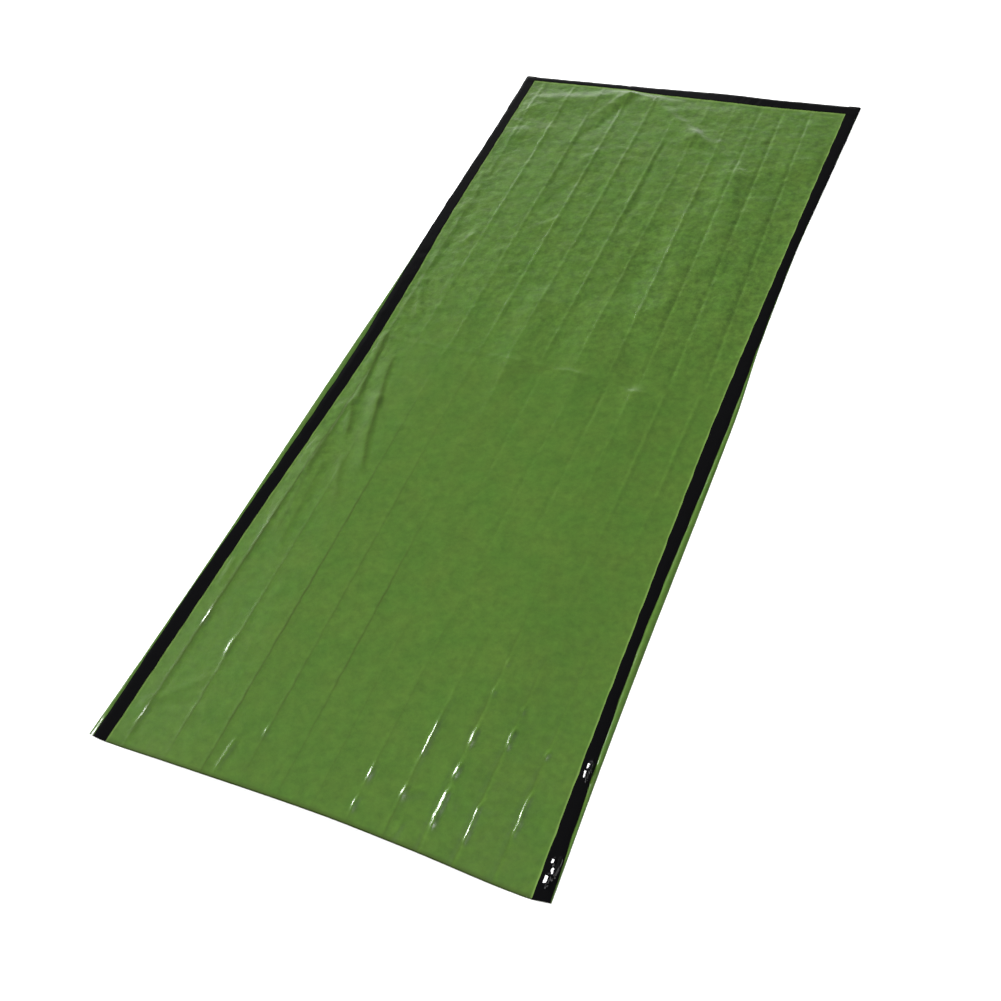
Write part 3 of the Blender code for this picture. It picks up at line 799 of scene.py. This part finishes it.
class BagTapeSettings(bpy.types.PropertyGroup):
    """Sizes and finish of the seam tapes."""

    thickness: FloatProperty(
        name="Tape thickness", description="Drawn thickness of the tape",
        default=0.3 * MM, min=0.1 * MM, max=1 * MM, unit="LENGTH",
    )
    wrinkle: FloatProperty(
        name="Tape wrinkles", description="Height of the tape's wrinkles",
        default=0.3 * MM, min=0, max=1 * MM, unit="LENGTH",
    )
    colour: FloatVectorProperty(
        name="Tape colour", description="Colour of the tape",
        subtype="COLOR", size=3, min=0, max=1, default=linear("#060607"),
    )
    roughness: FloatProperty(
        name="Tape roughness", description="Roughness of the tape's backing",
        default=0.08, min=0, max=1, subtype="FACTOR",
    )


class BagStageSettings(bpy.types.PropertyGroup):
    """Floor, lights and camera."""

    floor_colour: FloatVectorProperty(
        name="Floor colour", description="Colour of the studio floor",
        subtype="COLOR", size=3, min=0, max=1, default=linear("#fdfdfd"),
    )
    main_light: FloatProperty(
        name="Main light",
        description="Strength of the wide light over the camera, in watts a square metre",
        default=3.3, min=0, max=20,
    )
    side_light: FloatProperty(
        name="Side light", description="Strength of the low light at the left, in watts a square metre",
        default=9.7, min=0, max=40,
    )
    back_panel: FloatProperty(
        name="Back panel", description="Power of the wide panel behind the foot, in watts",
        default=7, min=0, max=500,
    )
    glint_light: FloatProperty(
        name="Glint light",
        description="Strength of the small light at the left, in watts a square metre",
        default=1.25, min=0, max=20,
    )
    back_strip: FloatProperty(
        name="Back strip", description="Power of the low strip light behind the foot, in watts",
        default=27, min=0, max=500,
    )
    surround: FloatProperty(
        name="Surround", description="Brightness of the studio around",
        default=0.09, min=0, max=3,
    )
    lens: FloatProperty(
        name="Lens", description="Focal length on a 36 mm sensor, in millimetres",
        default=42.92, min=10, max=200,
    )


class BAG_OT_front_film(bpy.types.Operator):
    """Makes the creased front film over its solid."""

    bl_idname = "bag.front_film"
    bl_label = "Front film"

    def execute(self, context):
        film = context.scene.bag_film
        across, along = front_film_grid()
        lift = air_lift(across, along, film)
        height = LAYER_STEP + SHEET_LIFT + lift + front_film_relief(across, along, film)
        points = to_frame(*towards_eye(across, along, lift), above_back_film(height))
        lines = painted_crease_shade(crease_offsets(across, along), across, along)
        # Painted shade on the front film's last five millimetres at the mouth, where its edge shades the
        # gap beneath
        lines = np.maximum(lines, ease(1.2 - (mouth_edge(across) - FRONT_SHORTER - along) / 4))
        marks = [
            ("rim_highlight", rim_highlight(across, along)),
            ("painted_shade_line", lines),
            ("crumpled", crumpled_share(across, along)),
        ]
        piece = grid_piece("front_film", points, 0, film_material(film), marks)
        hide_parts("film_front")
        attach(piece, "root")
        return {"FINISHED"}


class BAG_OT_back_film(bpy.types.Operator):
    """Makes the flat back film, with the soft roll of its free margins outside the tapes."""

    bl_idname = "bag.back_film"
    bl_label = "Back film"

    def execute(self, context):
        film = context.scene.bag_film
        down = np.concatenate([np.linspace(0, 0.94, 200), np.linspace(0.94, 1, 20)[1:]])[:, None]
        along = down * LENGTH
        left, right = side_edges(LEFT_SIDE, along)[0], side_edges(RIGHT_SIDE, along)[0]
        steps = np.array([0, 0.8, 1.8, 3, 4.5, 6.5, 8, 9, 10, 11, 12, 16, 22, 30, 45, 80])
        share = np.linspace(0.1, 0.9, 30)
        columns = [left + steps, left + share * (right - left), (right - steps)[:, ::-1]]
        across = np.concatenate(columns, axis=1)
        foot = foot_edges(across)[0]
        along = foot + down * (mouth_edge(across) - foot)
        points = to_frame(across, along, BACK_FILM_TOP + margin_roll(across, along))
        # Painted shade on the lip that shows beyond the front film, where the front film shades it
        marks = [("painted_shade_line", ease(1.6 - (mouth_edge(across) - along) / 5))]
        piece = grid_piece("back_film", points, film.thickness, film_material(film), marks)
        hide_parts("film_back")
        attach(piece, "root")
        return {"FINISHED"}


def film_material(settings):
    """The one film material, made when first asked for."""
    return bpy.data.materials.get("green_polyethylene_film") or polyethylene_film(settings)


def tape_material(settings):
    """The one tape material, made when first asked for."""
    return bpy.data.materials.get("black_polypropylene_tape") or polypropylene_tape(settings)


def margin_roll(across, along):
    """The back film's margin outside a tape stands up in a low soft roll, half a sine from the
    edge to the tape, and wavers along its length. At the left of the mouth it goes over into a
    flap: level over the outer 0.3 of the width, rising three in ten over the next 0.58, then
    falling to the tape, and pinched once."""
    total = np.zeros_like(across)
    for side, sign in ((LEFT_SIDE, 1), (RIGHT_SIDE, -1)):
        edge, outer, _ = side_edges(side, along)
        width = np.maximum(sign * (outer - edge), 1e-6)
        share = np.clip(sign * (across - edge) / width, 0, 1)
        roll = np.sin(np.pi * share) * np.clip(width / 9, 0, 1.2)
        roll *= 1.6 + 0.5 * wander(along, 210, sign + 2)
        if sign > 0:
            turned_up = ease((along - FLAP_FROM) / 6)
            pinch = 1 - 0.4 * np.exp(-(((along - FLAP_PINCH) / 5) ** 2))
            facet = np.clip(np.minimum((share - 0.3) / 0.58, (1 - share) / 0.12), 0, 1)
            flap = 0.3 * 0.58 * width * pinch * facet
            roll = 0.4 * roll * (1 - turned_up) + flap * turned_up
        total += roll
    return total


def tape_section(share):
    """Crown of a tape across its width: level, and down at both edges by the sixth power."""
    return 1 - (2 * share - 1) ** 6


def side_tape_grid(side, sign, tape):
    """Across, along and height of a side tape. It lies on the back film's margin, climbs onto
    the front film's edge and, at the foot, over the foot tape, and its outer 6 mm bend down."""
    rows = [np.linspace(0, 60, 30), np.linspace(60, 1880, 360)[1:], np.linspace(1880, LENGTH, 160)[1:]]
    nominal = np.concatenate(rows)[:, None]
    _, outer, inner = side_edges(side, nominal)
    outer = outer + 0.7 * wander(nominal, 140, 2 + sign)
    inner = inner + 0.6 * wander(nominal, 95, 5 + sign)
    shares = np.concatenate([[0, 0.015], np.linspace(0.03, 0.97, 32), [0.985, 1]])
    across = outer + shares * (inner - outer)
    if sign < 0:
        across = across[:, ::-1]
        shares = shares[::-1]
    foot = foot_edges(across)[0]
    stretch = nominal / LENGTH
    along = nominal + (1 - stretch) * foot + stretch * (mouth_edge(across) - LENGTH)
    inward = sign * (across - outer)
    climb = ease((inward - 1) / 12) * ease((along - foot - 3) / 6)
    over_foot_tape = ease((foot_edges(across)[1] + 10 - along) / 9)
    wrinkle = tape.wrinkle / MM * tape_wrinkles(across, along, sign)
    crown = tape_section(shares)
    height = LAYER_STEP + TAPE_STEP * (climb + over_foot_tape) + SHEET_LIFT + 0.2 * crown + wrinkle
    height -= (SHEET_LIFT + TAPE_STEP * over_foot_tape) * (1 - ease(inward / 6))
    if sign < 0:
        height += facet_relief(across, along, TAPE_FACETS) * crown
    return across, along, height


def tape_wrinkles(across, along, sign):
    """Faint slanting wrinkles, stronger in some places than in others."""
    return 0.5 * wander(along + 0.4 * across, 61, sign) * (0.6 + 0.4 * wander(along, 310, 7))


class BAG_OT_side_tapes(bpy.types.Operator):
    """Makes the tapes along both long seams."""

    bl_idname = "bag.side_tapes"
    bl_label = "Side tapes"

    def execute(self, context):
        tape = context.scene.bag_tape
        for name, node, side, sign, width in (
            ("left_tape", "tape_left", LEFT_SIDE, 1, 0.034),
            ("right_tape", "tape_right", RIGHT_SIDE, -1, 0.028),
        ):
            points = to_frame(*side_tape_grid(side, sign, tape))
            piece = grid_piece(name, points, tape.thickness, tape_material(tape))
            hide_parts(node)
            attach(piece, "root")
        return {"FINISHED"}


class BAG_OT_foot_tape(bpy.types.Operator):
    """Makes the tape across the foot, under the ends of the side tapes."""

    bl_idname = "bag.foot_tape"
    bl_label = "Foot tape"

    def execute(self, context):
        tape = context.scene.bag_tape
        left, right = side_edges(LEFT_SIDE, 0.0)[0], side_edges(RIGHT_SIDE, 0.0)[0]
        across = np.linspace(left + 0.6, right - 0.6, 260)[None, :]
        outer, inner = foot_edges(across)
        # A small nick where the pucker pulls the edge in
        outer = outer + 0.4 * wander(across, 120, 1) + 2.2 * np.exp(-(((across - 300) / 4) ** 2))
        inner = inner + 0.5 * wander(across, 80, 4)
        shares = np.array([0, 0.04, 0.1, 0.18, 0.27, 0.36, 0.48, 0.6, 0.72, 0.84, 0.92, 0.97, 1])[:, None]
        along = outer + shares * (inner - outer)
        across = np.repeat(across, len(shares), axis=0)
        from_side = np.minimum(across - left, right - across)
        climb = ease((along - outer - 1) / 8) * ease((from_side - 3) / 9)
        wrinkle = tape.wrinkle / MM * 0.5 * wander(across + 0.3 * along, 41, 6)
        wrinkle *= from_side > 32
        height = LAYER_STEP + TAPE_STEP * climb + SHEET_LIFT + 0.2 * tape_section(shares) + wrinkle
        height -= SHEET_LIFT * (1 - ease((along - outer) / 2))
        points = to_frame(across, along, height)
        piece = grid_piece("foot_tape", points, tape.thickness, tape_material(tape))
        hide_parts("tape_foot")
        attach(piece, "root")
        return {"FINISHED"}


class BAG_OT_stage(bpy.types.Operator):
    """Makes the floor, the lights and the camera."""

    bl_idname = "bag.stage"
    bl_label = "Studio"

    def execute(self, context):
        stage = context.scene.bag_stage
        scene = context.scene
        mesh = bpy.data.meshes.new("floor")
        half = 6.0
        corners = [(-half, -half, 0), (half, -half, 0), (half, half, 0), (-half, half, 0)]
        mesh.from_pydata(corners, [], [(0, 1, 2, 3)])
        mesh.materials.append(studio_sweep(stage))
        floor = bpy.data.objects.new("floor", mesh)
        floor.location.z = -0.2 * MM
        scene.collection.objects.link(floor)
        add_light("main_light", (0.25, -0.32, 0.91), stage.main_light, angle=50)
        side = add_light("side_light", (-0.72, 0.62, 0.32), stage.side_light, angle=25)
        # Kept out of the gloss, where this low light would veil the creases
        side.visible_glossy = False
        add_light("glint_light", (-0.91, 0.3, 0.28), stage.glint_light, angle=10)
        add_light("back_panel", (-4.4, 6.4, 3.2), stage.back_panel, size=(5.8, 4.2))
        add_light("back_strip", (-2.2, 5.5, 1.1), stage.back_strip, size=(6.0, 1.8))
        world = bpy.data.worlds.new("studio")
        world.use_nodes = True
        background = world.node_tree.nodes["Background"]
        background.inputs["Color"].default_value = (1, 1, 1, 1)
        background.inputs["Strength"].default_value = stage.surround
        scene.world = world
        scene.view_settings.view_transform = "Standard"
        add_camera(stage.lens)
        return {"FINISHED"}


def add_light(name, place, strength, angle=None, size=None):
    """A light that shines from its place on the bag's middle: a distant one, which looks an angle
    in degrees wide, or a rectangular panel of a size."""
    data = bpy.data.lights.new(name, "SUN" if angle else "AREA")
    data.energy = strength
    if angle:
        data.angle = np.radians(angle)
    else:
        data.shape = "RECTANGLE"
        data.size, data.size_y = size
    light = bpy.data.objects.new(name, data)
    light.location = place
    light.rotation_euler = Vector(place).to_track_quat("Z", "Y").to_euler()
    bpy.context.scene.collection.objects.link(light)
    return light


def add_camera(lens):
    """The camera of the photograph's view, worked out from the bag's four corners."""
    data = bpy.data.cameras.new("camera")
    data.sensor_fit = "HORIZONTAL"
    data.sensor_width = 36
    data.lens = lens
    camera = bpy.data.objects.new("camera", data)
    right = Vector((0.90792, 0.38725, -0.1604)).normalized()
    forward = Vector((-0.36073, 0.52703, -0.76948)).normalized()
    up = right.cross(forward)
    turned = Matrix((right, up, -forward)).transposed().to_4x4()
    turned.translation = to_frame(*EYE)
    camera.matrix_world = turned
    bpy.context.scene.collection.objects.link(camera)
    bpy.context.scene.camera = camera


class BAG_PT_panel(bpy.types.Panel):
    """Builds the bag and its studio piece by piece."""

    bl_idname = "BAG_PT_panel"
    bl_label = "Emergency sleeping bag"
    bl_space_type = "VIEW_3D"
    bl_region_type = "UI"
    bl_category = "Sleeping bag"

    def draw(self, context):
        for settings, names in (
            (context.scene.bag_film, ("front_film", "back_film")),
            (context.scene.bag_tape, ("side_tapes", "foot_tape")),
            (context.scene.bag_stage, ("stage",)),
        ):
            box = self.layout.box()
            for name in settings.__annotations__:
                box.prop(settings, name)
            for name in names:
                box.operator("bag." + name)


CLASSES = (
    BagFilmSettings,
    BagTapeSettings,
    BagStageSettings,
    BAG_OT_front_film,
    BAG_OT_back_film,
    BAG_OT_side_tapes,
    BAG_OT_foot_tape,
    BAG_OT_stage,
    BAG_PT_panel,
)


def register():
    for item in CLASSES:
        bpy.utils.register_class(item)
    bpy.types.Scene.bag_film = PointerProperty(type=BagFilmSettings)
    bpy.types.Scene.bag_tape = PointerProperty(type=BagTapeSettings)
    bpy.types.Scene.bag_stage = PointerProperty(type=BagStageSettings)


def unregister():
    del bpy.types.Scene.bag_film, bpy.types.Scene.bag_tape, bpy.types.Scene.bag_stage
    for item in reversed(CLASSES):
        bpy.utils.unregister_class(item)


def main():
    register()
    bpy.ops.bag.back_film()
    bpy.ops.bag.front_film()
    bpy.ops.bag.side_tapes()
    bpy.ops.bag.foot_tape()
    bpy.ops.bag.stage()


if __name__ == "__main__":
    main()
